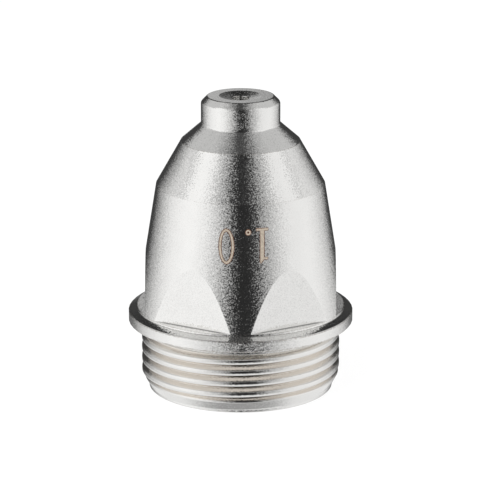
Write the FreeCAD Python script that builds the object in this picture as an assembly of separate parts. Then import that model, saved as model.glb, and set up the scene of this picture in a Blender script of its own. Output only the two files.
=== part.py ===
"""Plasma torch nozzle: one turned and plated piece, millimetres, +Z towards the tip.

The origin is on the axis at the foot.  A screw thread at the foot holds the nozzle in the
torch head, a flange seats against the head, six flats on the tapered body take a wrench, and
the tip has a shallow dish with the arc orifice in its middle.  The cavity is open at the foot.
"""
import FreeCAD, Part
import math
import os

# Screw thread: M18 x 1, right hand, one start
THREAD_DIA = 17.8            # over the crests
THREAD_PITCH = 1.0
THREAD_DEPTH = 0.53          # radial depth of the vee groove
THREAD_ANGLE = 60.0          # angle between the flanks, degrees
THREAD_FIRST_ROOT = 0.33     # height where the groove crosses the -Y side for the first time
TOOL_OVERSHOOT = 0.12        # how far the thread tool stands out past the crests

# Lead taper and foot edge
FOOT_DIA = 16.5
FOOT_EDGE = 0.25             # height of the straight band at the very foot
LEAD_HEIGHT = 1.49           # the taper ends in the thread at this height

# Relief groove between thread and flange
RELIEF_WIDTH = 0.75
RELIEF_DIA = 16.4

# Flange
FLANGE_DIA = 20.1
FLANGE_SEAT_HEIGHT = 6.10    # its underside, which seats on the torch head
FLANGE_EDGE_THICKNESS = 1.0
FLANGE_TOP_RISE = 0.25       # the top face rises this much from the rim to the body
FLANGE_EDGE_BREAK = 0.08     # 45 degree chamfers at both edges of the rim

# Tapered body and its six wrench flats
BODY_BASE_DIA = 18.66
BODY_TOP_DIA = 15.0
BODY_LENGTH = 11.33
WRENCH_SIZE = 17.0
WRENCH_CLEARANCE = 0.07
FLAT_COUNT = 6
FLAT_LEDGE = 0.17            # the flats stop this far above the foot of the body

# Shoulder cone and cylindrical nose
SHOULDER_TOP_DIA = 10.56
SHOULDER_LENGTH = 3.92
NOSE_DIA = 7.0
NOSE_FOOT_RISE = 1.56        # height of the steep cone between shoulder and nose
NOSE_FOOT_FILLET = 0.30
NOSE_LENGTH = 2.44
NOSE_RIM_CHAMFER = 0.55
NOSE_RIM_ROUND = 0.40        # round between the nose wall and the rim chamfer

# Dish, counterbore and arc orifice
DISH_DIA = 3.8
DISH_DEPTH = 0.22
COUNTERBORE_DIA = 1.5
COUNTERBORE_DEPTH = 0.50
ORIFICE_DIA = 1.0
ORIFICE_LENGTH = 2.3

# Cavity, from the foot upwards
SEAT_BORE_DIA = 14.4         # takes the gas swirl ring
SEAT_BORE_DEPTH = 9.0
SEAT_MOUTH_CHAMFER = 0.4
CHAMBER_DIA = 10.4           # room round the electrode
CHAMBER_DEPTH = 18.0
THROAT_DIA = 3.0
THROAT_DEPTH = 22.6
THROAT_LENGTH = 0.6

AXIS_Z = FreeCAD.Vector(0, 0, 1)
ORIGIN = FreeCAD.Vector(0, 0, 0)

# Heights that follow from the sizes above
FLANGE_RIM_TOP = FLANGE_SEAT_HEIGHT + FLANGE_EDGE_THICKNESS
BODY_BASE_HEIGHT = FLANGE_RIM_TOP + FLANGE_TOP_RISE
BODY_TOP_HEIGHT = BODY_BASE_HEIGHT + BODY_LENGTH
SHOULDER_TOP_HEIGHT = BODY_TOP_HEIGHT + SHOULDER_LENGTH
NOSE_FOOT_HEIGHT = SHOULDER_TOP_HEIGHT + NOSE_FOOT_RISE
TIP_HEIGHT = NOSE_FOOT_HEIGHT + NOSE_LENGTH


def point(radius, height):
    """A point of a turned profile, in the XZ plane."""
    return FreeCAD.Vector(radius, 0, height)


def arc_between(first, corner, last, radius):
    """The tangent points and the arc that round a profile corner to a radius."""
    into = (first - corner).normalize()
    out = (last - corner).normalize()
    half_angle = into.getAngle(out) / 2
    reach = radius / math.tan(half_angle)
    bisector = (into + out).normalize()
    centre = corner + bisector * (radius / math.sin(half_angle))
    start = corner + into * reach
    end = corner + out * reach
    middle = centre - bisector * radius
    return start, Part.Arc(start, middle, end).toShape(), end


def turned(corners, rounds):
    """A solid turned from profile corners; rounds maps a corner's index to its radius."""
    edges = []
    previous = corners[0]
    for index in range(1, len(corners) - 1):
        corner = corners[index]
        if index in rounds:
            start, arc, end = arc_between(previous, corner, corners[index + 1], rounds[index])
            edges.append(Part.LineSegment(previous, start).toShape())
            edges.append(arc)
            previous = end
        else:
            edges.append(Part.LineSegment(previous, corner).toShape())
            previous = corner
    edges.append(Part.LineSegment(previous, corners[-1]).toShape())
    edges.append(Part.LineSegment(corners[-1], corners[0]).toShape())
    return Part.Face(Part.Wire(edges)).revolve(ORIGIN, AXIS_Z, 360)


def outside():
    """The turned outer form, still without thread and flats."""
    crest = THREAD_DIA / 2
    relief = RELIEF_DIA / 2
    rim = FLANGE_DIA / 2
    nose = NOSE_DIA / 2
    relief_foot = FLANGE_SEAT_HEIGHT - RELIEF_WIDTH
    corners = [
        point(0, 0),
        point(FOOT_DIA / 2, 0),
        point(FOOT_DIA / 2, FOOT_EDGE),
        point(crest, LEAD_HEIGHT),
        point(crest, relief_foot),
        point(relief, relief_foot),
        point(relief, FLANGE_SEAT_HEIGHT),
        point(rim - FLANGE_EDGE_BREAK, FLANGE_SEAT_HEIGHT),
        point(rim, FLANGE_SEAT_HEIGHT + FLANGE_EDGE_BREAK),
        point(rim, FLANGE_RIM_TOP - FLANGE_EDGE_BREAK),
        point(rim - FLANGE_EDGE_BREAK, FLANGE_RIM_TOP),
        point(BODY_BASE_DIA / 2, BODY_BASE_HEIGHT),
        point(BODY_TOP_DIA / 2, BODY_TOP_HEIGHT),
        point(SHOULDER_TOP_DIA / 2, SHOULDER_TOP_HEIGHT),
        point(nose, NOSE_FOOT_HEIGHT),
        point(nose, TIP_HEIGHT - NOSE_RIM_CHAMFER),
        point(nose - NOSE_RIM_CHAMFER, TIP_HEIGHT),
        point(0, TIP_HEIGHT),
    ]
    nose_foot = len(corners) - 4
    nose_rim = len(corners) - 3
    rounds = {nose_foot: NOSE_FOOT_FILLET, nose_rim: NOSE_RIM_ROUND}
    return turned(corners, rounds)


def thread_groove():
    """The vee groove of the thread, swept along its helix from below the foot to the relief."""
    root = THREAD_DIA / 2 - THREAD_DEPTH
    tool_radius = THREAD_DIA / 2 + TOOL_OVERSHOOT
    slope = math.tan(math.radians(THREAD_ANGLE / 2))
    tool_half_width = (tool_radius - root) * slope
    start_height = THREAD_FIRST_ROOT + THREAD_PITCH / 4 - THREAD_PITCH
    end_height = FLANGE_SEAT_HEIGHT - tool_half_width - TOOL_OVERSHOOT / 10
    helix = Part.makeLongHelix(THREAD_PITCH, end_height - start_height, root)
    tool = Part.makePolygon([
        point(root, 0),
        point(tool_radius, -tool_half_width),
        point(tool_radius, tool_half_width),
        point(root, 0),
    ])
    groove = Part.Wire(helix.Edges).makePipeShell([tool], True, True)
    groove.translate(FreeCAD.Vector(0, 0, start_height))
    return groove


def wrench_flats():
    """What the cutter takes off for the six flats, down to their ledge."""
    apothem = (WRENCH_SIZE - WRENCH_CLEARANCE) / 2
    ledge_height = BODY_BASE_HEIGHT + FLAT_LEDGE
    cut_length = BODY_TOP_HEIGHT - ledge_height
    cut_depth = BODY_BASE_DIA / 2
    blocks = []
    for index in range(FLAT_COUNT):
        corner = FreeCAD.Vector(apothem, -BODY_BASE_DIA / 2, ledge_height)
        block = Part.makeBox(cut_depth, BODY_BASE_DIA, cut_length, corner)
        block.rotate(ORIGIN, AXIS_Z, index * 360 / FLAT_COUNT)
        blocks.append(block)
    return blocks


def cavity():
    """Swirl-ring seat, electrode chamber, throat, arc orifice, counterbore and dish."""
    seat = SEAT_BORE_DIA / 2
    chamber = CHAMBER_DIA / 2
    throat = THROAT_DIA / 2
    orifice = ORIFICE_DIA / 2
    counterbore = COUNTERBORE_DIA / 2
    throat_end = THROAT_DEPTH + THROAT_LENGTH
    dish_floor = TIP_HEIGHT - DISH_DEPTH
    orifice_end = dish_floor - COUNTERBORE_DEPTH
    orifice_start = orifice_end - ORIFICE_LENGTH
    corners = [
        point(0, 0),
        point(seat + SEAT_MOUTH_CHAMFER, 0),
        point(seat, SEAT_MOUTH_CHAMFER),
        point(seat, SEAT_BORE_DEPTH),
        point(chamber, SEAT_BORE_DEPTH),
        point(chamber, CHAMBER_DEPTH),
        point(throat, THROAT_DEPTH),
        point(throat, throat_end),
        point(orifice, orifice_start),
        point(orifice, orifice_end),
        point(counterbore, orifice_end),
        point(counterbore, dish_floor),
        point(DISH_DIA / 2, TIP_HEIGHT),
        point(0, TIP_HEIGHT),
    ]
    return turned(corners, {})


def nozzle():
    """The whole nozzle as one solid."""
    body = outside()
    for block in wrench_flats():
        body = body.cut(block)
    body = body.cut(cavity())
    body = body.cut(thread_groove())
    return body.Solids[0]


def main():
    os.makedirs("parts", exist_ok=True)
    shape = nozzle()
    shape.exportStep("parts/nozzle.step")
    print("nozzle", "valid", shape.isValid(), "volume", round(shape.Volume, 2))


if __name__ == "__main__":
    main()
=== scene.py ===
"""Looks of a plated plasma torch nozzle, laid out as an add-on.

The nozzle stands on its foot with the tip up.  Its outline is turned round the axis, six wrench
flats and the screw thread follow from their sizes, and the size mark lies on the tapered body.
All sizes are in metres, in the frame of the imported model.
"""
import bmesh
import bpy
import math
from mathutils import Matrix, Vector


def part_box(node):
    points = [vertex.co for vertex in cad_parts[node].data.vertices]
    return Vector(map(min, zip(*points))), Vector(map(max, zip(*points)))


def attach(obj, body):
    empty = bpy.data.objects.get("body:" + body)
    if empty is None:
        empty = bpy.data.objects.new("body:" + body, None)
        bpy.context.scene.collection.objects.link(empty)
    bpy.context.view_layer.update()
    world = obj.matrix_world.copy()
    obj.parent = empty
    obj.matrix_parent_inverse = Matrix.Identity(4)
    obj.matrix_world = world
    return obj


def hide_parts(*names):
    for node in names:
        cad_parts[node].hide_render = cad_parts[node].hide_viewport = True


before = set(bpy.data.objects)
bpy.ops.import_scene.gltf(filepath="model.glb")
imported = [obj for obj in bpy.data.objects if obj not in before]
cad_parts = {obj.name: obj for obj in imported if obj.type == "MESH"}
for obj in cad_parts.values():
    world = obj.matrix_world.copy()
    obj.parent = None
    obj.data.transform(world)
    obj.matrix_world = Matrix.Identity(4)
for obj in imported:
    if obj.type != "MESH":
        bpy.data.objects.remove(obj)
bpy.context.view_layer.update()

bl_info = {
    "name": "Plasma Torch Nozzle",
    "version": (1, 0, 0),
    "blender": (4, 5, 0),
    "location": "View3D > Sidebar > Nozzle",
    "description": "Builds a plated plasma torch nozzle, its size mark and its studio",
    "category": "Object",
}

MM = 0.001
NODE = "nozzle"
BODY = "root"
NOZZLE_LOW, NOZZLE_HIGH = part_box(NODE)
TOTAL_HEIGHT = NOZZLE_HIGH[2] - NOZZLE_LOW[2]
FLANGE_WIDTH = NOZZLE_HIGH[0] - NOZZLE_LOW[0]


# ---------------------------------------------------------------- settings

def length(name, value, description):
    """A length that a user can change, in metres."""
    return bpy.props.FloatProperty(
        name=name, description=description, default=value, min=0.0,
        precision=6, subtype="DISTANCE", unit="LENGTH",
    )


def tint(name, value, description):
    """A colour that a user can change."""
    return bpy.props.FloatVectorProperty(
        name=name, description=description, default=value, size=3,
        min=0.0, max=1.0, subtype="COLOR",
    )


class NozzleSizes(bpy.types.PropertyGroup):
    """Driving sizes of the nozzle."""
    thread_diameter: length("Thread Diameter", 17.8 * MM, "Across the thread's crests")
    thread_pitch: length("Thread Pitch", 1.0 * MM, "Rise of the thread for one turn")
    thread_depth: length("Thread Depth", 0.53 * MM, "Depth of the vee groove")
    thread_angle: bpy.props.FloatProperty(
        name="Thread Angle", description="Angle between the thread's flanks",
        default=math.radians(60), subtype="ANGLE", unit="ROTATION",
    )
    first_root: length("First Root", 0.33 * MM, "Height of the first root on the front side")
    foot_diameter: length("Foot Diameter", 16.5 * MM, "Across the foot, below the lead taper")
    foot_edge: length("Foot Edge", 0.25 * MM, "Height of the straight band at the foot")
    lead_height: length("Lead Height", 1.49 * MM, "Where the lead taper ends")
    relief_width: length("Relief Width", 0.75 * MM, "Width of the groove under the flange")
    relief_diameter: length("Relief Diameter", 16.4 * MM, "Across the relief groove")
    flange_diameter: length("Flange Diameter", FLANGE_WIDTH, "Across the flange")
    flange_seat: length("Flange Seat", 6.1 * MM, "Height of the flange's underside")
    flange_thickness: length("Flange Thickness", 1.0 * MM, "Thickness of the flange's rim")
    flange_rise: length("Flange Rise", 0.25 * MM, "Rise of the flange's top to the body")
    flange_break: length("Flange Break", 0.08 * MM, "Chamfer on the rim's edges")
    body_base: length("Body Base", 18.66 * MM, "Across the foot of the tapered body")
    body_top: length("Body Top", 15.0 * MM, "Across the top of the tapered body")
    body_length: length("Body Length", 11.33 * MM, "Height of the tapered body")
    wrench_size: length("Wrench Size", 16.93 * MM, "Across two opposite flats")
    flat_count: bpy.props.IntProperty(
        name="Flats", description="How many wrench flats", default=6, min=3, max=12,
    )
    flat_ledge: length("Flat Ledge", 0.17 * MM, "Height of the flats' ledge over the body's foot")
    shoulder_top: length("Shoulder Top", 10.56 * MM, "Across the top of the shoulder")
    shoulder_length: length("Shoulder Length", 3.92 * MM, "Height of the shoulder")
    nose_diameter: length("Nose Diameter", 7.0 * MM, "Across the nose")
    nose_rise: length("Nose Rise", 1.56 * MM, "Height of the steep cone under the nose")
    nose_chamfer: length("Nose Chamfer", 0.55 * MM, "Chamfer round the tip")
    dish_diameter: length("Dish Diameter", 3.8 * MM, "Across the dish in the tip")
    dish_depth: length("Dish Depth", 0.22 * MM, "Depth of the dish")
    counterbore_diameter: length("Counterbore", 1.5 * MM, "Across the counterbore")
    counterbore_depth: length("Counterbore Depth", 0.5 * MM, "Depth of the counterbore")
    orifice_diameter: length("Orifice Diameter", 1.0 * MM, "Across the arc orifice")
    orifice_length: length("Orifice Length", 2.3 * MM, "Length of the arc orifice")
    seat_bore: length("Seat Bore", 14.4 * MM, "Across the swirl ring's seat")
    seat_depth: length("Seat Depth", 9.0 * MM, "Depth of the swirl ring's seat")
    seat_chamfer: length("Seat Chamfer", 0.4 * MM, "Chamfer at the seat's mouth")
    chamber_diameter: length("Chamber Diameter", 10.4 * MM, "Across the electrode chamber")
    chamber_depth: length("Chamber Depth", 18.0 * MM, "Depth of the electrode chamber")
    throat_diameter: length("Throat Diameter", 3.0 * MM, "Across the throat")
    throat_depth: length("Throat Depth", 22.6 * MM, "Depth of the throat's start")
    throat_length: length("Throat Length", 0.6 * MM, "Length of the throat")
    mark_height: length("Mark Height", 3.03 * MM, "Height of the figures of the size mark")
    mark_stroke: length("Mark Stroke", 0.085 * MM, "Width of the mark's lines")
    mark_middle: length("Mark Middle", 15.11 * MM, "Height of the middle of the size mark")


class NozzleColours(bpy.types.PropertyGroup):
    """Colours of the nozzle and its studio."""
    plating: tint("Plating", (0.86, 0.855, 0.84), "Nickel plating")
    flank: tint("Flank", (0.80, 0.765, 0.72), "Thinner plating on the thread's flanks")
    scratch: tint("Worn Edge", (0.42, 0.38, 0.34), "Plating worn on the edges")
    bore: tint("Bore", (0.74, 0.70, 0.65), "Plating inside the cavity")
    mark_line: tint("Mark Line", (0.12, 0.045, 0.022), "Copper-brown lines of the mark")
    mark_band: tint("Mark Band", (0.47, 0.40, 0.32), "Pale band inside the mark's lines")
    floor: tint("Floor", (0.9, 0.9, 0.9), "The plain floor")


# ---------------------------------------------------------------- node helpers

class Wiring:
    """Adds nodes to one tree and joins them."""

    def __init__(self, tree):
        self.tree = tree
        self.count = 0

    def node(self, kind, **settings):
        """A new node with its settings made."""
        made = self.tree.nodes.new(kind)
        made.location = (190 * (self.count // 6), -170 * (self.count % 6))
        self.count += 1
        for name, value in settings.items():
            setattr(made, name, value)
        return made

    def feed(self, socket, value):
        """Links a socket to another, or gives it a plain value."""
        if isinstance(value, bpy.types.NodeSocket):
            self.tree.links.new(value, socket)
        elif value is not None:
            socket.default_value = value

    def maths(self, operation, *values, clamp=False):
        """A maths node and its result."""
        made = self.node("ShaderNodeMath", operation=operation, use_clamp=clamp)
        for socket, value in zip(made.inputs, values):
            self.feed(socket, value)
        return made.outputs[0]

    def plus(self, first, second):
        """A sum."""
        return self.maths("ADD", first, second)

    def minus(self, first, second):
        """A difference."""
        return self.maths("SUBTRACT", first, second)

    def times(self, first, second, clamp=False):
        """A product."""
        return self.maths("MULTIPLY", first, second, clamp=clamp)

    def over(self, first, second):
        """A ratio."""
        return self.maths("DIVIDE", first, second)

    def vector_maths(self, operation, *values, scale=None):
        """A vector maths node and its result."""
        made = self.node("ShaderNodeVectorMath", operation=operation)
        for socket, value in zip(made.inputs, values):
            self.feed(socket, value)
        if scale is not None:
            self.feed(made.inputs["Scale"], scale)
        return made.outputs[0]

    def between(self, share, first, second):
        """A number between two others."""
        made = self.node("ShaderNodeMix", data_type="FLOAT")
        for index, value in zip((0, 2, 3), (share, first, second)):
            self.feed(made.inputs[index], value)
        return made.outputs[0]

    def either(self, share, first, second):
        """One shader or another, by a share."""
        made = self.node("ShaderNodeMixShader")
        for socket, value in zip(made.inputs, (share, first, second)):
            self.feed(socket, value)
        return made.outputs[0]

    def rays(self):
        """Masks of the camera's rays, and of those that gloss and glass send out."""
        path = self.node("ShaderNodeLightPath").outputs
        shiny = self.maths("MAXIMUM", path["Is Glossy Ray"], path["Is Transmission Ray"])
        return path["Is Camera Ray"], shiny

    def vector(self, x, y, z):
        """A vector from three numbers."""
        made = self.node("ShaderNodeCombineXYZ")
        for socket, value in zip(made.inputs, (x, y, z)):
            self.feed(socket, value)
        return made.outputs[0]

    def parts(self, vector):
        """The three numbers of a vector."""
        made = self.node("ShaderNodeSeparateXYZ")
        self.feed(made.inputs[0], vector)
        return made.outputs

    def span(self, value, low, high, first=0.0, last=1.0, smooth=False):
        """A value's place between two bounds, carried over to another range."""
        made = self.node("ShaderNodeMapRange", clamp=True)
        made.interpolation_type = "SMOOTHSTEP" if smooth else "LINEAR"
        for name, given in (
            ("Value", value), ("From Min", low), ("From Max", high),
            ("To Min", first), ("To Max", last),
        ):
            self.feed(made.inputs[name], given)
        return made.outputs[0]

    def noise(self, place, scale, detail=2.0, roughness=0.5):
        """Noise from a place in space, at a number of grains for one metre."""
        made = self.node("ShaderNodeTexNoise", noise_dimensions="3D")
        self.feed(made.inputs["Vector"], place)
        self.feed(made.inputs["Scale"], scale)
        self.feed(made.inputs["Detail"], detail)
        self.feed(made.inputs["Roughness"], roughness)
        return made.outputs["Fac"]

    def mixed(self, share, first, second):
        """A colour between two others."""
        made = self.node("ShaderNodeMix", data_type="RGBA")
        self.feed(made.inputs[0], share)
        self.feed(made.inputs[6], first)
        self.feed(made.inputs[7], second)
        return made.outputs[2]

    def attribute(self, name):
        """A number kept on the mesh."""
        made = self.node("ShaderNodeAttribute", attribute_name=name)
        return made.outputs["Fac"]

    def group(self, tree, **values):
        """A node group with its inputs set."""
        made = self.node("ShaderNodeGroup", node_tree=tree)
        for name, value in values.items():
            self.feed(made.inputs[name.replace("_", " ")], value)
        return made.outputs


def colour(value):
    """A colour with full opacity."""
    return (value[0], value[1], value[2], 1.0)


def new_group(name, inputs, outputs, kind="ShaderNodeTree"):
    """A node group with named sockets, and its input and output nodes."""
    tree = bpy.data.node_groups.new(name, kind)
    for title, socket_type, default in inputs:
        socket = tree.interface.new_socket(name=title, in_out="INPUT", socket_type=socket_type)
        if default is not None:
            socket.default_value = default
    for title, socket_type in outputs:
        tree.interface.new_socket(name=title, in_out="OUTPUT", socket_type=socket_type)
    wiring = Wiring(tree)
    into = wiring.node("NodeGroupInput")
    out = wiring.node("NodeGroupOutput")
    return tree, wiring, into.outputs, out.inputs


# ---------------------------------------------------------------- shared effects

NUMBER = "NodeSocketFloat"
VECTOR = "NodeSocketVector"


def grain_group():
    """Fine grain of the plating: it tilts the surface a little at every grain."""
    tree, w, given, out = new_group(
        "Plating Grain",
        [("Place", VECTOR, None), ("Grains", NUMBER, 9000.0), ("Tilt", NUMBER, 0.5),
         ("Patches", NUMBER, 700.0)],
        [("Normal", VECTOR), ("Patch", NUMBER)],
    )
    grains = w.node("ShaderNodeTexNoise", noise_dimensions="3D")
    w.feed(grains.inputs["Vector"], given["Place"])
    w.feed(grains.inputs["Scale"], given["Grains"])
    grains.inputs["Detail"].default_value = 1.0
    lean = w.vector_maths("SUBTRACT", grains.outputs["Color"], (0.5, 0.5, 0.5))
    scaled = w.vector_maths("SCALE", lean, scale=given["Tilt"])
    normal = w.node("ShaderNodeNewGeometry").outputs["Normal"]
    leaning = w.vector_maths("ADD", normal, scaled)
    w.feed(out["Normal"], w.vector_maths("NORMALIZE", leaning))
    w.feed(out["Patch"], w.noise(given["Place"], given["Patches"], 3.0, 0.6))
    return tree


def turning_group():
    """Rings that the turning tool leaves, along the outline and a little uneven round it."""
    tree, w, given, out = new_group(
        "Turning Marks",
        [("Place", VECTOR, None), ("Rings", NUMBER, 12000.0), ("Broken", NUMBER, 3.0)],
        [("Height", NUMBER)],
    )
    x, y, z = w.parts(given["Place"])[:3]
    radius = w.maths("SQRT", w.plus(w.times(x, x), w.times(y, y)))
    turn = w.maths("ARCTAN2", y, x)
    along = w.times(w.minus(z, radius), given["Rings"])
    across = w.vector(
        w.times(w.maths("COSINE", turn), given["Broken"]),
        w.times(w.maths("SINE", turn), given["Broken"]),
        along,
    )
    w.feed(out["Height"], w.noise(across, 1.0, 2.0, 0.6))
    return tree


def wear_group():
    """Broken line of wear along the edges, from the mask kept on the mesh."""
    tree, w, given, out = new_group(
        "Edge Wear",
        [("Place", VECTOR, None), ("Edge", NUMBER, 0.0), ("Dots", NUMBER, 4000.0),
         ("Amount", NUMBER, 0.5)],
        [("Mask", NUMBER)],
    )
    dots = w.noise(given["Place"], given["Dots"], 1.0, 0.5)
    level = w.plus(dots, w.minus(given["Amount"], 0.5))
    broken = w.span(level, 0.45, 0.58, smooth=True)
    w.feed(out["Mask"], w.times(broken, given["Edge"], clamp=True))
    return tree


# ---------------------------------------------------------------- materials

def new_material(name):
    """An empty material with its shader, and the wiring to fill it."""
    made = bpy.data.materials.new(name)
    made.use_nodes = True
    made.node_tree.nodes.clear()
    w = Wiring(made.node_tree)
    shader = w.node("ShaderNodeBsdfPrincipled")
    out = w.node("ShaderNodeOutputMaterial")
    w.tree.links.new(shader.outputs[0], out.inputs["Surface"])
    return made, w, shader


def bumped(w, shader, heights, normal=None):
    """Joins bump maps one after the other: each is a height and how deep it is, in metres."""
    for height, depth in heights:
        bump = w.node("ShaderNodeBump")
        bump.inputs["Strength"].default_value = 1.0
        bump.inputs["Distance"].default_value = depth
        w.feed(bump.inputs["Height"], height)
        w.feed(bump.inputs["Normal"], normal)
        normal = bump.outputs[0]
    w.feed(shader.inputs["Normal"], normal)


def plating_material(name, groups, base, worn, flank, tilt, ring_depth, gloss, wear):
    """Nickel plating over turned copper."""
    made, w, shader = new_material(name)
    place = w.node("ShaderNodeTexCoord").outputs["Object"]
    grain = w.group(groups["grain"], Place=place, Grains=10000.0, Tilt=tilt, Patches=700.0)
    rings = w.group(groups["turning"], Place=place, Rings=5500.0, Broken=1.5)
    mask = w.group(
        groups["wear"], Place=place, Edge=w.attribute("edge"), Dots=8000.0, Amount=wear,
    )[0]
    tone = w.mixed(
        w.span(grain["Patch"], 0.3, 0.7),
        colour([part * 0.97 for part in base]), colour(base),
    )
    tone = w.mixed(w.span(w.attribute("groove"), 0.02, 0.3), tone, colour(flank))
    # painted shade: rows marked on the ledge's inner corner are darkened towards near black
    tone = w.mixed(w.times(w.attribute("painted_corner_shade"), 0.6), tone, colour([0.03, 0.027, 0.024]))
    w.feed(shader.inputs["Base Color"], w.mixed(mask, tone, colour(worn)))
    low, high = gloss
    rough = w.span(grain["Patch"], 0.25, 0.75, low, high)
    w.feed(shader.inputs["Roughness"], w.plus(rough, w.times(mask, 0.25)))
    shader.inputs["Metallic"].default_value = 1.0
    bumped(w, shader, [(rings["Height"], ring_depth)], grain["Normal"])
    return made


def line_material(name, base, gloss):
    """Matt burnt metal of the size mark."""
    made, w, shader = new_material(name)
    place = w.node("ShaderNodeTexCoord").outputs["Object"]
    mottle = w.noise(place, 6000.0, 2.0, 0.6)
    darker = colour([part * 0.7 for part in base])
    w.feed(shader.inputs["Base Color"], w.mixed(w.span(mottle, 0.3, 0.7), darker, colour(base)))
    w.feed(shader.inputs["Roughness"], w.span(mottle, 0.3, 0.7, gloss, gloss + 0.15))
    bumped(w, shader, [(mottle, 0.00001)])
    return made


# ---------------------------------------------------------------- outline

ROW_MARKS = (
    "low", "high", "radius_low", "radius_high", "lift", "cut", "spread", "edge", "painted_corner_shade", "finish",
)
SATIN, TURNED, THREAD, BORE = 0, 1, 2, 3
# rows up a flat, and how much closer they come at its highest point
FLAT_ROWS = 34
FLAT_CROWDING = 1.7


class Outline:
    """Rows of the turned form, from the foot up the outside, over the tip and down the cavity."""

    def __init__(self):
        self.rows = []
        self.spread = 0.0
        self.cut = 0.0
        self.finish = SATIN

    def row(self, radius, height, edge=0.0, cut=None, painted_corner_shade=0.0):
        """A plain row: a ring at one height."""
        self.rows.append({
            "radius": radius, "height": height, "low": height, "high": height,
            "radius_low": radius, "radius_high": radius, "lift": 0.0,
            "cut": self.cut if cut is None else cut,
            "spread": self.spread, "edge": edge, "painted_corner_shade": painted_corner_shade, "finish": self.finish,
        })

    def screw_row(self, height, low, high):
        """A row that climbs with the thread, held between two rings."""
        self.rows.append({
            "radius": low[0], "height": height, "low": low[1], "high": high[1],
            "radius_low": low[0], "radius_high": high[0], "lift": 1.0,
            "cut": 0.0, "spread": self.spread, "edge": 0.0, "painted_corner_shade": 0.0, "finish": THREAD,
        })

    def corner(self, before, at, after, radius, edge=0.0, steps=3, hold=0.04 * MM):
        """A corner with a small round and a row close by on either side."""
        middle = Vector(at)
        into = (Vector(before) - middle)
        out = (Vector(after) - middle)
        room = 0.45 * min(into.length, out.length)
        into.normalize()
        out.normalize()
        half = into.angle(out) / 2
        reach = min(radius / math.tan(half), room * 0.7)
        real = reach * math.tan(half)
        centre = middle + (into + out).normalized() * (real / math.sin(half))
        start = middle + into * reach
        sweep = math.pi - 2 * half
        side = 1.0 if into.x * out.y - into.y * out.x > 0 else -1.0
        support = min(reach + hold, room)
        self.row(*(middle + into * support))
        turned = start - centre
        for step in range(steps + 1):
            angle = -side * sweep * step / steps
            spun = Vector((
                turned.x * math.cos(angle) - turned.y * math.sin(angle),
                turned.x * math.sin(angle) + turned.y * math.cos(angle),
            ))
            self.row(*(centre + spun), edge=edge)
        self.row(*(middle + out * support))

    def follow(self, corners):
        """Rows along a chain of corners: each is a point, a round and how worn its edge is."""
        for index in range(1, len(corners) - 1):
            at, radius, edge, steps = corners[index]
            self.corner(corners[index - 1][0], at, corners[index + 1][0], radius, edge, steps)


def thread_heights(sizes, start_turn, low, high):
    """Heights of the rows that follow the thread, over one turn more than a zone's height."""
    pitch = sizes.thread_pitch
    opening = sizes.thread_depth * math.tan(sizes.thread_angle / 2)
    beside = (0.0, 0.06 * opening, 0.5 * opening, 0.88 * opening, opening, 1.1 * opening)
    steps = sorted({round(step, 9) for step in beside} | {round(-step, 9) for step in beside[1:]})
    steps.append(pitch / 2)
    first = sizes.first_root + pitch * start_turn
    lowest = math.floor((low - pitch - first) / pitch) - 1
    highest = math.ceil((high - first) / pitch) + 1
    heights = [first + pitch * turn + step for turn in range(lowest, highest) for step in steps]
    inside = [height for height in heights if low - pitch < height < high]
    inside = [low - pitch] + inside + [high]
    return inside


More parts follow.
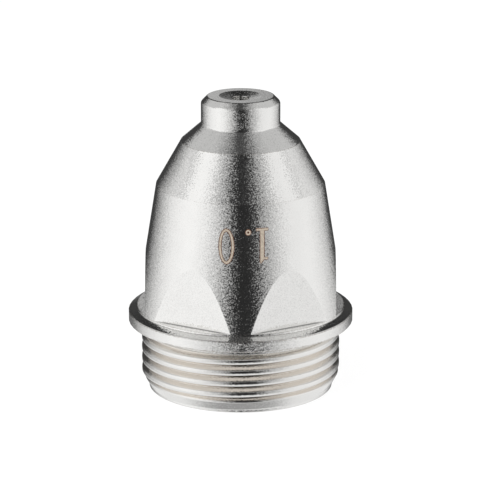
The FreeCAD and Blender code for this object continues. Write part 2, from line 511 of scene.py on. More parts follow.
def nozzle_outline(sizes, start_turn):
    """Rows of the nozzle's outline."""
    o = Outline()
    even = math.radians(5.0)
    crest = sizes.thread_diameter / 2
    foot = sizes.foot_diameter / 2
    relief = sizes.relief_diameter / 2
    rim = sizes.flange_diameter / 2
    base = sizes.body_base / 2
    top = sizes.body_top / 2
    shoulder = sizes.shoulder_top / 2
    nose = sizes.nose_diameter / 2
    seat = sizes.seat_bore / 2
    chamber = sizes.chamber_diameter / 2
    throat = sizes.throat_diameter / 2
    orifice = sizes.orifice_diameter / 2
    counterbore = sizes.counterbore_diameter / 2
    dish = sizes.dish_diameter / 2
    apothem = sizes.wrench_size / 2
    relief_foot = sizes.flange_seat - sizes.relief_width
    rim_top = sizes.flange_seat + sizes.flange_thickness
    body_foot = rim_top + sizes.flange_rise
    ledge = body_foot + sizes.flat_ledge
    body_end = body_foot + sizes.body_length
    shoulder_end = body_end + sizes.shoulder_length
    nose_foot = shoulder_end + sizes.nose_rise
    tip = TOTAL_HEIGHT
    chamfer = sizes.flange_break
    slope = (base - top) / sizes.body_length
    ledge_radius = base - slope * sizes.flat_ledge
    apex = body_foot + (base - apothem) / slope
    ledge_spread = math.acos(apothem / ledge_radius)

    # foot, lead taper and thread
    o.spread = even
    o.finish = TURNED
    o.row(seat + sizes.seat_chamfer + 0.04 * MM, 0.0)
    o.corner((seat, 0.0), (foot, 0.0), (foot, sizes.foot_edge), 0.05 * MM, 0.3)
    o.row(foot, sizes.foot_edge - 0.03 * MM)
    zones = (
        ((foot, sizes.foot_edge), (crest, sizes.lead_height)),
        ((crest, sizes.lead_height), (crest, relief_foot)),
    )
    for low, high in zones:
        for height in thread_heights(sizes, start_turn, low[1], high[1]):
            o.screw_row(height, low, high)

    # relief groove and flange
    o.corner((crest, relief_foot), (relief, relief_foot), (relief, sizes.flange_seat), 0.04 * MM)
    o.corner((relief, relief_foot), (relief, sizes.flange_seat), (rim, sizes.flange_seat), 0.04 * MM)
    o.spread = ledge_spread
    side_top = rim_top - chamfer
    o.follow([
        ((relief, sizes.flange_seat), 0, 0, 0),
        ((rim - chamfer, sizes.flange_seat), 0.03 * MM, 0.5, 2),
        ((rim, sizes.flange_seat + chamfer), 0.03 * MM, 1.0, 2),
        ((rim, side_top), 0.03 * MM, 1.0, 2),
        ((rim - chamfer, rim_top), 0.03 * MM, 1.0, 2),
        ((base, body_foot), 0.03 * MM, 0.6, 2),
        ((ledge_radius, ledge), 0, 0, 0),
    ])

    # ledge of the flats
    o.finish = SATIN
    near = 0.03 * MM
    o.row(ledge_radius + slope * near, ledge - near, edge=0.3)
    o.row(ledge_radius + slope * near * 0.3, ledge - near * 0.3, edge=1.0, cut=0.006)
    o.row(ledge_radius, ledge, edge=1.0, cut=0.03)
    o.row(ledge_radius, ledge, edge=0.2, cut=0.09)
    o.row(ledge_radius, ledge, cut=0.88)
    # painted shade: these three rows mark the ledge's inner corner, which the plating darkens
    # towards near black
    o.row(ledge_radius, ledge, cut=0.97, painted_corner_shade=1.0)
    o.row(ledge_radius, ledge + near * 0.3, cut=0.995, painted_corner_shade=1.0)
    o.row(ledge_radius - slope * near * 1.5, ledge + near * 1.5, cut=1.0, painted_corner_shade=1.0)
    o.row(ledge_radius - slope * near * 3, ledge + near * 3, cut=1.0)

    # flats up to their highest point, closer together near it
    o.cut = 1.0
    for step in range(1, FLAT_ROWS + 1):
        part = step / FLAT_ROWS
        height = ledge + near * 3 + (apex - ledge - near * 3) * (1 - (1 - part) ** FLAT_CROWDING)
        o.spread = 0.0
        o.row(base - slope * (height - body_foot), height)
    o.cut = 0.0
    lift = body_end - apex
    for part in (0.04, 0.12, 0.3, 0.6):
        height = apex + lift * part
        o.spread = even * part / 0.6
        o.row(base - slope * (height - body_foot), height)
    o.spread = even

    # edge over the body, shoulder, nose and dish
    o.follow([
        ((base, body_foot), 0, 0, 0),
        ((top, body_end), 0.10 * MM, 0.3, 3),
        ((shoulder, shoulder_end), 0, 0, 0),
    ])
    o.finish = TURNED
    o.follow([
        ((top, body_end), 0, 0, 0),
        ((shoulder, shoulder_end), 0.06 * MM, 0.8, 3),
        ((nose, nose_foot), 0.30 * MM, 0.0, 6),
        ((nose, tip - sizes.nose_chamfer), 0.40 * MM, 0.0, 6),
        ((nose - sizes.nose_chamfer, tip), 0.22 * MM, 0.1, 4),
        ((dish, tip), 0.05 * MM, 0.2, 3),
        ((counterbore, tip - sizes.dish_depth), 0.04 * MM, 0.6, 3),
        ((counterbore, tip - sizes.dish_depth - sizes.counterbore_depth), 0.03 * MM, 0, 2),
        ((orifice, tip - sizes.dish_depth - sizes.counterbore_depth), 0.03 * MM, 0, 2),
        ((orifice, throat), 0, 0, 0),
    ])

    # cavity, down to the foot
    o.finish = BORE
    orifice_start = tip - sizes.dish_depth - sizes.counterbore_depth - sizes.orifice_length
    o.follow([
        ((orifice, tip - sizes.dish_depth - sizes.counterbore_depth), 0, 0, 0),
        ((orifice, orifice_start), 0.04 * MM, 0, 2),
        ((throat, sizes.throat_depth + sizes.throat_length), 0.04 * MM, 0, 2),
        ((throat, sizes.throat_depth), 0.05 * MM, 0, 2),
        ((chamber, sizes.chamber_depth), 0.2 * MM, 0, 4),
        ((chamber, sizes.seat_depth), 0.06 * MM, 0, 3),
        ((seat, sizes.seat_depth), 0.06 * MM, 0, 3),
        ((seat, sizes.seat_chamfer), 0.04 * MM, 0, 2),
        ((seat + sizes.seat_chamfer, 0.0), 0.03 * MM, 0, 2),
        ((foot, 0.0), 0, 0, 0),
    ])
    return o.rows


def outline_mesh(rows):
    """A chain of points that carries the rows and their marks into the tree."""
    mesh = bpy.data.meshes.new("nozzle_outline")
    points = [(row["radius"], 0.0, row["height"]) for row in rows]
    edges = [(index, index + 1) for index in range(len(rows) - 1)]
    mesh.from_pydata(points, edges, [])
    for name in ROW_MARKS:
        kept = mesh.attributes.new(name, "FLOAT", "POINT")
        kept.data.foreach_set("value", [row[name] for row in rows])
    return mesh


# ---------------------------------------------------------------- the nozzle's tree

# columns over half a flat, over its crease and over half the neck beside it
SIDE_STEPS = 4
NECK_STEPS = 21
CREASE_STEPS = 2
HALF_COLUMNS = SIDE_STEPS + CREASE_STEPS + NECK_STEPS
# angle between the columns at a crease, and the softness of the thread's edges
CREASE_GAP = 0.0035
EDGE_SOFTNESS = 0.22 * MM
WELD_DISTANCE = 2e-7


def turned_tree(materials):
    """Geometry nodes that turn an outline, cut the flats and the thread into it."""
    tree, w, given, out = new_group(
        "Turned Nozzle",
        [
            ("Outline", "NodeSocketGeometry", None),
            ("Rows", "NodeSocketInt", 2),
            ("Flat Count", "NodeSocketInt", 6),
            ("Flat Distance", NUMBER, 0.0085),
            ("Flat Turn", NUMBER, 0.0),
            ("Crest Radius", NUMBER, 0.0089),
            ("Pitch", NUMBER, 0.001),
            ("Groove Depth", NUMBER, 0.00053),
            ("Groove Angle", NUMBER, 1.0),
            ("First Root", NUMBER, 0.0003),
            ("Edge Softness", NUMBER, 0.0001),
        ],
        [("Nozzle", "NodeSocketGeometry")],
        kind="GeometryNodeTree",
    )
    tree.is_modifier = True
    columns = w.times(given["Flat Count"], float(2 * HALF_COLUMNS))
    grid = w.node("GeometryNodeMeshGrid")
    w.feed(grid.inputs["Size X"], columns)
    w.feed(grid.inputs["Size Y"], w.minus(given["Rows"], 1.0))
    w.feed(grid.inputs["Vertices X"], w.plus(columns, 1.0))
    w.feed(grid.inputs["Vertices Y"], given["Rows"])
    x, y, _ = w.parts(w.node("GeometryNodeInputPosition").outputs[0])[:3]
    column = w.maths("ROUND", w.plus(x, w.times(columns, 0.5)))
    half_rows = w.times(w.minus(given["Rows"], 1.0), 0.5)
    row = w.maths("ROUND", w.plus(y, half_rows))

    def sampled(value):
        made = w.node("GeometryNodeSampleIndex", data_type="FLOAT", domain="POINT")
        w.feed(made.inputs["Geometry"], given["Outline"])
        w.feed(made.inputs["Value"], value)
        w.feed(made.inputs["Index"], row)
        return made.outputs[0]

    def mark(name):
        made = w.node("GeometryNodeInputNamedAttribute", data_type="FLOAT")
        made.inputs["Name"].default_value = name
        return sampled(made.outputs["Attribute"])

    marks = {name: mark(name) for name in ROW_MARKS}
    start = sampled(w.parts(w.node("GeometryNodeInputPosition").outputs[0])[2])

    # place of the column in its flat: 0 at the middle of the flat, growing to both sides
    per_flat = float(2 * HALF_COLUMNS)
    sector = w.maths("FLOOR", w.over(w.plus(column, 0.5), per_flat))
    sector = w.maths("MINIMUM", sector, w.minus(given["Flat Count"], 1.0))
    offset = w.minus(w.minus(column, w.times(sector, per_flat)), float(HALF_COLUMNS))
    side = w.maths("SIGN", offset)
    steps = w.maths("ABSOLUTE", offset)
    sector_angle = w.over(2 * math.pi, given["Flat Count"])

    # half angle that the flat takes at this row
    ratio = w.over(given["Flat Distance"], w.maths("MAXIMUM", marks["radius_low"], 0.0001))
    reach = w.maths("ARCCOSINE", w.maths("MINIMUM", ratio, 1.0))
    taken = w.times(reach, w.maths("GREATER_THAN", marks["cut"], 0.0))
    theta = w.maths("MAXIMUM", w.maths("MAXIMUM", taken, marks["spread"]), 4 * CREASE_GAP)
    side_part = w.maths("MINIMUM", w.over(steps, float(SIDE_STEPS)), 1.0)
    on_side = w.times(side_part, w.minus(theta, CREASE_GAP))
    past_side = w.maths("MAXIMUM", w.minus(steps, float(SIDE_STEPS)), 0.0)
    on_crease = w.times(w.maths("MINIMUM", past_side, float(CREASE_STEPS)), CREASE_GAP)
    past_crease = w.minus(steps, float(SIDE_STEPS + CREASE_STEPS))
    neck_part = w.maths("MAXIMUM", w.over(past_crease, float(NECK_STEPS)), 0.0)
    neck_room = w.minus(w.minus(w.times(sector_angle, 0.5), theta), CREASE_GAP)
    local = w.plus(w.plus(on_side, on_crease), w.times(neck_part, neck_room))
    middle = w.times(w.plus(sector, 0.5), sector_angle)
    swept = w.plus(middle, w.times(local, side))
    angle = w.plus(swept, given["Flat Turn"])

    # thread: the row climbs by the angle swept since the seam, between its two rings
    climb = w.times(w.over(swept, 2 * math.pi), given["Pitch"])
    raised = w.plus(start, w.times(climb, marks["lift"]))
    height = w.maths("MINIMUM", w.maths("MAXIMUM", raised, marks["low"]), marks["high"])
    rise = w.maths("MAXIMUM", w.minus(marks["high"], marks["low"]), 1e-6)
    share = w.over(w.minus(height, marks["low"]), rise)
    widening = w.minus(marks["radius_high"], marks["radius_low"])
    outside = w.plus(marks["radius_low"], w.times(widening, share))

    # groove: how far this point is from the nearest root line
    front_turn = w.over(w.plus(angle, math.pi / 2), 2 * math.pi)
    phase = w.minus(w.over(w.minus(height, given["First Root"]), given["Pitch"]), front_turn)
    off_root = w.maths("ABSOLUTE", w.minus(phase, w.maths("ROUND", phase)))
    from_root = w.times(off_root, given["Pitch"])
    flank = w.over(from_root, w.maths("TANGENT", w.times(given["Groove Angle"], 0.5)))
    softness = given["Edge Softness"]
    deep = w.maths("SMOOTH_MAX", w.minus(given["Groove Depth"], flank), 0.0, softness)
    floor_radius = w.minus(given["Crest Radius"], deep)
    grooved = w.maths("SMOOTH_MIN", outside, floor_radius, w.times(softness, 0.3))
    round_radius = w.between(marks["lift"], outside, w.maths("MINIMUM", grooved, outside))

    # flats: the part of the radius past the flat is taken off
    flat_radius = w.over(given["Flat Distance"], w.maths("COSINE", local))
    past = w.maths("MAXIMUM", w.minus(round_radius, flat_radius), 0.0)
    radius = w.minus(round_radius, w.times(past, marks["cut"]))

    place = w.vector(
        w.times(radius, w.maths("COSINE", angle)),
        w.times(radius, w.maths("SINE", angle)),
        height,
    )

    def kept(geometry, name, value):
        made = w.node("GeometryNodeStoreNamedAttribute", data_type="FLOAT", domain="POINT")
        w.feed(made.inputs["Geometry"], geometry)
        made.inputs["Name"].default_value = name
        w.feed(made.inputs["Value"], value)
        return made.outputs[0]

    sunk = w.times(w.over(w.minus(outside, round_radius), given["Groove Depth"]), marks["lift"])
    shape = kept(grid.outputs["Mesh"], "edge", marks["edge"])
    shape = kept(shape, "groove", sunk)
    on_flat = w.maths("LESS_THAN", local, w.minus(theta, CREASE_GAP))
    # painted shade in the ledge's inner corner, kept only where the flats are
    shape = kept(shape, "painted_corner_shade", w.times(marks["painted_corner_shade"], on_flat))
    shape = kept(shape, "finish", marks["finish"])
    moved = w.node("GeometryNodeSetPosition")
    w.feed(moved.inputs["Geometry"], shape)
    w.feed(moved.inputs["Position"], place)
    merged = w.node("GeometryNodeMergeByDistance")
    w.feed(merged.inputs["Geometry"], moved.outputs[0])
    merged.inputs["Distance"].default_value = WELD_DISTANCE
    smooth = w.node("GeometryNodeSetShadeSmooth")
    w.feed(smooth.inputs[0], merged.outputs[0])
    real = w.node("GeometryNodeRealizeInstances")
    w.feed(real.inputs[0], smooth.outputs[0])
    shape = real.outputs[0]
    which = w.node("GeometryNodeInputNamedAttribute", data_type="FLOAT")
    which.inputs["Name"].default_value = "finish"
    for number, material in enumerate(materials):
        dressed = w.node("GeometryNodeSetMaterial")
        w.feed(dressed.inputs["Geometry"], shape)
        if number:
            above = w.maths("GREATER_THAN", which.outputs["Attribute"], number - 0.5)
            w.feed(dressed.inputs["Selection"], above)
        dressed.inputs["Material"].default_value = material
        shape = dressed.outputs[0]
    w.feed(out["Nozzle"], shape)
    return tree


def baked_by_nodes(name, mesh, tree, values):
    """Runs a tree on a mesh and gives its result as a plain object."""
    holder = bpy.data.objects.new(name, mesh)
    bpy.context.scene.collection.objects.link(holder)
    modifier = holder.modifiers.new("shape", "NODES")
    modifier.node_group = tree
    for socket in tree.interface.items_tree:
        if socket.in_out == "INPUT" and socket.name in values:
            modifier[socket.identifier] = values[socket.name]
    graph = bpy.context.evaluated_depsgraph_get()
    result = bpy.data.meshes.new_from_object(
        holder.evaluated_get(graph), preserve_all_data_layers=True, depsgraph=graph,
    )
    holder.modifiers.remove(modifier)
    holder.data = result
    result.name = name
    bpy.data.meshes.remove(mesh)
    return holder


def outward(mesh):
    """Turns the faces outwards and gives the number of open edges."""
    shell = bmesh.new()
    shell.from_mesh(mesh)
    if shell.calc_volume(signed=True) < 0:
        bmesh.ops.reverse_faces(shell, faces=shell.faces)
    open_edges = sum(1 for edge in shell.edges if len(edge.link_faces) != 2)
    shell.to_mesh(mesh)
    shell.free()
    return open_edges


# ---------------------------------------------------------------- size mark

# how far the pale band stands out, and the share of a line's width that is sunk
BAND_HEIGHT = 0.004 * MM
LINE_SINK = 0.3


def ring_faces(mesh, middle, outer, inner, count):
    """A flat elliptic ring of faces, two across."""
    rings = []
    for share in (0.0, 0.5, 1.0):
        ring = []
        for step in range(count):
            angle = 2 * math.pi * step / count
            wide = outer[0] + (inner[0] - outer[0]) * share
            high = outer[1] + (inner[1] - outer[1]) * share
            ring.append(mesh.verts.new((
                middle[0] + wide * math.cos(angle), 0.0, middle[1] + high * math.sin(angle),
            )))
        rings.append(ring)
    for first, second in zip(rings, rings[1:]):
        for step in range(count):
            following = (step + 1) % count
            mesh.faces.new((first[step], first[following], second[following], second[step]))


def figure_one(mesh, middle, height):
    """The figure one, upside down, from strips that share their corners."""
    stem = 0.19 * MM
    foot = 0.54 * MM
    flag = 0.52 * MM
    top = middle[1] + height / 2
    low = middle[1] - height / 2
    bar = 0.22 * MM
    steps = 8

    def corner(x, z):
        return mesh.verts.new((middle[0] + x, 0.0, z))

    xs = (-foot, -stem, 0.0, stem, foot)
    upper = [corner(x, top) for x in xs]
    lower = [corner(x, top - bar) for x in xs]
    for index in range(4):
        mesh.faces.new((upper[index], upper[index + 1], lower[index + 1], lower[index]))
    above = lower[1:4]
    flag_top = low + 2.4 * bar
    for step in range(1, steps + 1):
        z = top - bar + (flag_top - top + bar) * step / steps
        below = [corner(-stem, z), corner(0.0, z), corner(stem, z)]
        for index in range(2):
            mesh.faces.new((above[index], above[index + 1], below[index + 1], below[index]))
        above = below
    flag_low = low + 1.5 * bar
    below = [corner(-stem, flag_low), corner(0.0, flag_low), corner(stem, flag_low)]
    for index in range(2):
        mesh.faces.new((above[index], above[index + 1], below[index + 1], below[index]))
    far = [corner(flag, flag_top), corner(flag, flag_low)]
    mesh.faces.new((above[2], far[0], far[1], below[2]))
    left = corner(-stem, low + 0.35 * bar)
    tip = corner(-stem * 0.6, low)
    mesh.faces.new((below[0], below[1], tip, left))
    mesh.faces.new((below[1], below[2], tip))


def mark_faces(sizes):
    """The flat faces of the size mark: across is x, up is z."""
    mesh = bmesh.new()
    height = sizes.mark_height
    middle = sizes.mark_middle
    nought = (0.68 * MM, height / 2)
    inside = (0.44 * MM, height / 2 - 0.25 * MM)
    ring_faces(mesh, (-1.235 * MM, middle), nought, inside, 72)
    dot = (0.25 * MM, 0.25 * MM)
    hole = (0.07 * MM, 0.07 * MM)
    ring_faces(mesh, (0.66 * MM, middle + 0.4 * height), dot, hole, 20)
    figure_one(mesh, (1.88 * MM, middle + 0.02 * MM), height)
    made = bpy.data.meshes.new("mark_faces")
    mesh.to_mesh(made)
    mesh.free()
    return made


def mark_tree(line, band):
    """Geometry nodes that lay flat figures on a cone and draw a line round each."""
    tree, w, given, out = new_group(
        "Size Mark",
        [
            ("Figures", "NodeSocketGeometry", None),
            ("Cone Radius", NUMBER, 0.009),
            ("Cone Foot", NUMBER, 0.007),
            ("Cone Slope", NUMBER, 0.16),
            ("Line Width", NUMBER, 0.00007),
            ("Band Height", NUMBER, 0.000004),
            ("Line Sink", NUMBER, 0.00002),
        ],
        [("Mark", "NodeSocketGeometry")],
        kind="GeometryNodeTree",
    )
    tree.is_modifier = True

    def on_cone(geometry, lifted):
        x, _, z = w.parts(w.node("GeometryNodeInputPosition").outputs[0])[:3]
        narrowing = w.times(w.minus(z, given["Cone Foot"]), given["Cone Slope"])
        radius = w.minus(given["Cone Radius"], narrowing)
        angle = w.over(x, radius)
        away = w.plus(radius, lifted)
        moved = w.node("GeometryNodeSetPosition")
        w.feed(moved.inputs["Geometry"], geometry)
        w.feed(moved.inputs["Position"], w.vector(
            w.times(away, w.maths("SINE", angle)),
            w.times(w.times(away, w.maths("COSINE", angle)), -1.0),
            z,
        ))
        return moved.outputs[0]

    def coated(geometry, material):
        made = w.node("GeometryNodeSetMaterial")
        w.feed(made.inputs["Geometry"], geometry)
        made.inputs["Material"].default_value = material
        return made.outputs[0]

    neighbours = w.node("GeometryNodeInputMeshEdgeNeighbors").outputs[0]
    border = w.node("GeometryNodeMeshToCurve")
    w.feed(border.inputs["Mesh"], given["Figures"])
    w.feed(border.inputs["Selection"], w.maths("LESS_THAN", neighbours, 1.5))
    lines = on_cone(border.outputs[0], w.times(given["Line Sink"], -1.0))
    section = w.node("GeometryNodeCurvePrimitiveCircle")
    section.inputs["Resolution"].default_value = 8
    w.feed(section.inputs["Radius"], w.times(given["Line Width"], 0.5))
    tube = w.node("GeometryNodeCurveToMesh")
    w.feed(tube.inputs["Curve"], lines)
    w.feed(tube.inputs["Profile Curve"], section.outputs[0])
    faces = coated(on_cone(given["Figures"], given["Band Height"]), band)
    joined = w.node("GeometryNodeJoinGeometry")
    w.feed(joined.inputs[0], coated(tube.outputs[0], line))
    w.feed(joined.inputs[0], faces)
    real = w.node("GeometryNodeRealizeInstances")
    w.feed(real.inputs[0], joined.outputs[0])
    w.feed(out["Mark"], real.outputs[0])
    return tree


# ---------------------------------------------------------------- operators

class NOZZLE_OT_body(bpy.types.Operator):
    """Build the nozzle with its thread, flats and cavity"""
    bl_idname = "nozzle.body"
    bl_label = "Build Nozzle"

    def execute(self, context):
        sizes = context.scene.nozzle_sizes
        tones = context.scene.nozzle_colours
        groups = {"grain": grain_group(), "turning": turning_group(), "wear": wear_group()}
        worn = tones.scratch
        flank = tones.flank
        materials = [
            plating_material("satin_plating", groups, tones.plating, worn, flank,
                             0.5, 0.000001, (0.06, 0.10), 0.5),
            plating_material("turned_plating", groups, tones.plating, worn, flank,
                             0.4, 0.000005, (0.06, 0.10), 0.5),
            plating_material("thread_plating", groups, tones.plating, worn, flank,
                             0.3, 0.000001, (0.08, 0.14), 0.4),
            plating_material("bore_plating", groups, tones.bore, worn, flank,
                             0.3, 0.000004, (0.2, 0.3), 0.3),
        ]
        flat_turn = -math.pi / sizes.flat_count
        start_turn = (flat_turn + math.pi / 2) / (2 * math.pi)
        rows = nozzle_outline(sizes, start_turn)
        rows.append(dict(rows[0]))
        piece = baked_by_nodes("nozzle_shell", outline_mesh(rows), turned_tree(materials), {
            "Rows": len(rows),
            "Flat Count": sizes.flat_count,
            "Flat Distance": sizes.wrench_size / 2,
            "Flat Turn": flat_turn,
            "Crest Radius": sizes.thread_diameter / 2,
            "Pitch": sizes.thread_pitch,
            "Groove Depth": sizes.thread_depth,
            "Groove Angle": sizes.thread_angle,
            "First Root": sizes.first_root,
            "Edge Softness": EDGE_SOFTNESS,
        })
        open_edges = outward(piece.data)
        print("nozzle_shell", len(piece.data.polygons), "faces,", open_edges, "open edges")
        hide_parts(NODE)
        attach(piece, BODY)
        return {"FINISHED"}


class NOZZLE_OT_mark(bpy.types.Operator):
    """Lay the size mark on the tapered body"""
    bl_idname = "nozzle.mark"
    bl_label = "Build Size Mark"

    def execute(self, context):
        sizes = context.scene.nozzle_sizes
        tones = context.scene.nozzle_colours
        line = line_material("mark_line", tones.mark_line, 0.5)
        band = line_material("mark_band", tones.mark_band, 0.5)
        body_foot = sizes.flange_seat + sizes.flange_thickness + sizes.flange_rise
        slope = (sizes.body_base - sizes.body_top) / 2 / sizes.body_length
        piece = baked_by_nodes("size_mark", mark_faces(sizes), mark_tree(line, band), {
            "Cone Radius": sizes.body_base / 2,
            "Cone Foot": body_foot,
            "Cone Slope": slope,
            "Line Width": sizes.mark_stroke,
            "Band Height": BAND_HEIGHT,
            "Line Sink": sizes.mark_stroke * LINE_SINK,
        })
        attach(piece, BODY)
        return {"FINISHED"}


# ---------------------------------------------------------------- stage

CAMERA_DISTANCE = 246.9 * MM
CAMERA_ELEVATION = math.radians(16.412)
CAMERA_TARGET = 12.446 * MM
CAMERA_LENS = 199.1
CAMERA_SHIFT = 0.0188

# light that metal sees round the nozzle: degrees round from the front to either side, and level
LEFT_WALL = (
    (0, 0.02), (8, 0.04), (14, 0.24), (20, 0.44), (30, 0.67), (45, 0.95), (65, 1.08), (90, 1.0),
    (107, 0.84), (126, 0.48), (139, 0.26), (148, 0.05), (170, 0.05), (177, 0.5),
)
RIGHT_WALL = (
    (0, 0.02), (12, 0.04), (20, 0.26), (26, 0.44), (37, 0.61), (47, 0.8), (60, 0.92), (90, 0.97),
    (107, 0.85), (126, 0.6), (139, 0.28), (148, 0.05), (170, 0.05), (177, 0.5),
)
# light overhead: degrees away from the gap that runs over the nozzle, and level
OVERHEAD = ((0, 0.05), (6, 0.09), (11, 0.22), (17, 0.38), (25, 0.52), (32, 0.62))
# light high behind the nozzle, in the same way
HIGH_BEHIND = ((0, 0.02), (20, 0.03), (27, 0.2), (33, 0.56), (40, 0.62))
AMBIENT_LEVEL = 0.6
BACKDROP_LEVEL = 1.0
FLOOR_GLOW = 0.84
FLOOR_SHADE = 0.24
FLOOR_HALF = 0.6
FLOOR_DROP = 0.01 * MM
LAMP_SIZE = 0.3


def light_ramp(w, value, stops, low, high):
    """A level read from stops between two bounds."""
    ramp = w.node("ShaderNodeValToRGB")
    w.feed(ramp.inputs[0], w.over(w.minus(value, low), high - low))
    elements = ramp.color_ramp.elements
    while len(elements) > 1:
        elements.remove(elements[-1])
    for number, (place, level) in enumerate(stops):
        part = (place - low) / (high - low)
        stop = elements[0] if number == 0 else elements.new(part)
        stop.position = part
        stop.color = (level, level, level, 1.0)
    return ramp.outputs[0]


def studio_world():
    """A white backdrop; metal sees soft white walls with a gap in front and shade behind."""
    world = bpy.data.worlds.new("studio")
    world.use_nodes = True
    world.node_tree.nodes.clear()
    w = Wiring(world.node_tree)
    towards = w.node("ShaderNodeTexCoord").outputs["Generated"]
    x, y, z = w.parts(towards)[:3]
    sideways = w.maths("DEGREES", w.maths("ARCSINE", w.maths("ABSOLUTE", x)))
    rise = w.maths("DEGREES", w.maths("ARCSINE", z))
    turned = w.maths("DEGREES", w.maths("ARCTAN2", x, w.times(y, -1.0)))
    lateral = w.times(sideways, w.maths("SIGN", x))
    far = w.span(w.maths("ABSOLUTE", turned), 35.0, 75.0, smooth=True)
    round_about = w.between(far, lateral, turned)
    on_right = w.span(round_about, 0.0, 12.0, 0.0, 5.0)
    wider = w.times(on_right, w.span(rise, 10.0, 40.0, 1.0, 0.0))
    round_about = w.minus(round_about, wider)
    left = light_ramp(w, w.times(round_about, -1.0), LEFT_WALL, 0, 180)
    right = light_ramp(w, round_about, RIGHT_WALL, 0, 180)
    walls = w.between(w.maths("GREATER_THAN", round_about, 0.0), left, right)
    behind = w.maths("GREATER_THAN", y, 0.0)
    hung = light_ramp(w, sideways, HIGH_BEHIND, 0, 90)
    share = w.times(w.span(rise, 17.0, 32.0, smooth=True), behind)
    walls = w.between(share, walls, hung)
    above = light_ramp(w, sideways, OVERHEAD, 0, 90)
    level = w.between(w.span(rise, 46.0, 60.0, smooth=True), walls, above)
    sunk = w.times(rise, -1.0)
    under = w.span(sunk, 52.0, 74.0, 0.88, 0.35, smooth=True)
    level = w.between(w.span(sunk, 13.0, 34.0, smooth=True), level, under)

    def white(strength):
        made = w.node("ShaderNodeBackground")
        made.inputs["Color"].default_value = colour((1.0, 1.0, 1.0))
        w.feed(made.inputs["Strength"], strength)
        return made.outputs[0]

    camera, shiny = w.rays()
    unseen = w.either(shiny, white(AMBIENT_LEVEL), white(level))
    out = w.node("ShaderNodeOutputWorld")
    w.feed(out.inputs[0], w.either(camera, unseen, white(BACKDROP_LEVEL)))
    bpy.context.scene.world = world


def floor_material(tone):
    """A plain pale floor that keeps the shadow; metal sees the surroundings in its place."""
    made = bpy.data.materials.new("pale_floor")
    made.use_nodes = True
    made.node_tree.nodes.clear()
    w = Wiring(made.node_tree)
    lit = w.node("ShaderNodeBsdfDiffuse")
    w.feed(lit.inputs["Color"], colour(tone))
    shade = w.node("ShaderNodeBsdfDiffuse")
    w.feed(shade.inputs["Color"], colour([part * FLOOR_SHADE for part in tone]))
    glow = w.node("ShaderNodeEmission")
    glow.inputs["Strength"].default_value = FLOOR_GLOW
    clear = w.node("ShaderNodeBsdfTransparent")
    seen = w.node("ShaderNodeAddShader")
    w.feed(seen.inputs[0], glow.outputs[0])
    w.feed(seen.inputs[1], shade.outputs[0])
    camera, shiny = w.rays()
    bright = w.either(camera, lit.outputs[0], seen.outputs[0])
    out = w.node("ShaderNodeOutputMaterial")
    w.feed(out.inputs[0], w.either(shiny, bright, clear.outputs[0]))
    return made


def aimed(obj, place, target):
    """Puts an object in its place and turns it to a point."""
    obj.location = place
    obj.rotation_euler = (Vector(target) - Vector(place)).to_track_quat("-Z", "Y").to_euler()


def soft_lamp(name, place, power):
    """A large soft lamp that metal doesn't show."""
    lamp = bpy.data.lights.new(name, "AREA")
    lamp.size = LAMP_SIZE
    lamp.energy = power
    made = bpy.data.objects.new(name, lamp)
    bpy.context.scene.collection.objects.link(made)
    aimed(made, place, (0.0, 0.0, TOTAL_HEIGHT / 2))
    made.visible_glossy = False
    made.visible_camera = False


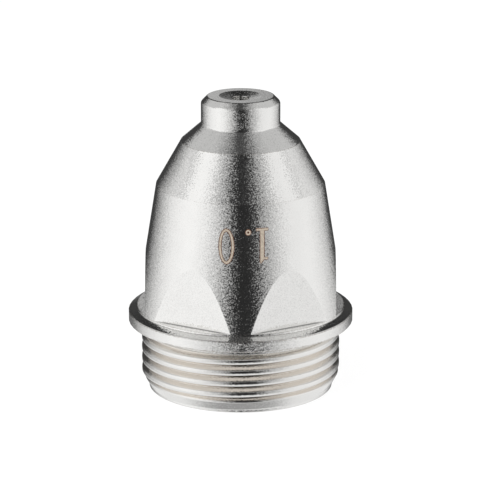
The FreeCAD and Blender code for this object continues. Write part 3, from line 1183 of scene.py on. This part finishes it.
class NOZZLE_OT_stage(bpy.types.Operator):
    """Set the camera, the floor, the lamps and the surroundings"""
    bl_idname = "nozzle.stage"
    bl_label = "Set Stage"

    def execute(self, context):
        scene = context.scene
        scene.view_settings.view_transform = "Standard"
        studio_world()
        half = FLOOR_HALF
        mesh = bpy.data.meshes.new("floor")
        level = NOZZLE_LOW[2] - FLOOR_DROP
        mesh.from_pydata(
            [(-half, -half, level), (half, -half, level), (half, half, level), (-half, half, level)],
            [], [(0, 1, 2, 3)],
        )
        floor = bpy.data.objects.new("floor", mesh)
        scene.collection.objects.link(floor)
        floor.data.materials.append(floor_material(scene.nozzle_colours.floor))
        soft_lamp("key_lamp", (-0.25, -0.25, 0.35), 1.3)
        soft_lamp("fill_lamp", (0.3, -0.2, 0.3), 0.8)
        lens = bpy.data.cameras.new("camera")
        lens.lens = CAMERA_LENS
        lens.sensor_width = 36.0
        lens.shift_x = CAMERA_SHIFT
        lens.clip_start = 0.01
        lens.dof.use_dof = False
        camera = bpy.data.objects.new("camera", lens)
        scene.collection.objects.link(camera)
        back = CAMERA_DISTANCE * math.cos(CAMERA_ELEVATION)
        up = CAMERA_DISTANCE * math.sin(CAMERA_ELEVATION)
        aimed(camera, (0.0, -back, CAMERA_TARGET + up), (0.0, 0.0, CAMERA_TARGET))
        scene.camera = camera
        return {"FINISHED"}


class NOZZLE_PT_panel(bpy.types.Panel):
    """Buttons and sizes of the nozzle"""
    bl_label = "Plasma Torch Nozzle"
    bl_idname = "NOZZLE_PT_panel"
    bl_space_type = "VIEW_3D"
    bl_region_type = "UI"
    bl_category = "Nozzle"

    def draw(self, context):
        layout = self.layout
        for operator in (NOZZLE_OT_body, NOZZLE_OT_mark, NOZZLE_OT_stage):
            layout.operator(operator.bl_idname)
        for group in (context.scene.nozzle_sizes, context.scene.nozzle_colours):
            box = layout.box()
            for name in group.__annotations__:
                box.prop(group, name)


CLASSES = (
    NozzleSizes, NozzleColours, NOZZLE_OT_body, NOZZLE_OT_mark, NOZZLE_OT_stage, NOZZLE_PT_panel,
)


def register():
    """Makes the classes and settings known."""
    for each in CLASSES:
        bpy.utils.register_class(each)
    bpy.types.Scene.nozzle_sizes = bpy.props.PointerProperty(type=NozzleSizes)
    bpy.types.Scene.nozzle_colours = bpy.props.PointerProperty(type=NozzleColours)


def unregister():
    """Takes the classes and settings away again."""
    del bpy.types.Scene.nozzle_colours
    del bpy.types.Scene.nozzle_sizes
    for each in reversed(CLASSES):
        bpy.utils.unregister_class(each)


def main():
    """Builds everything."""
    register()
    bpy.ops.nozzle.body()
    bpy.ops.nozzle.mark()
    bpy.ops.nozzle.stage()


if __name__ == "__main__":
    main()
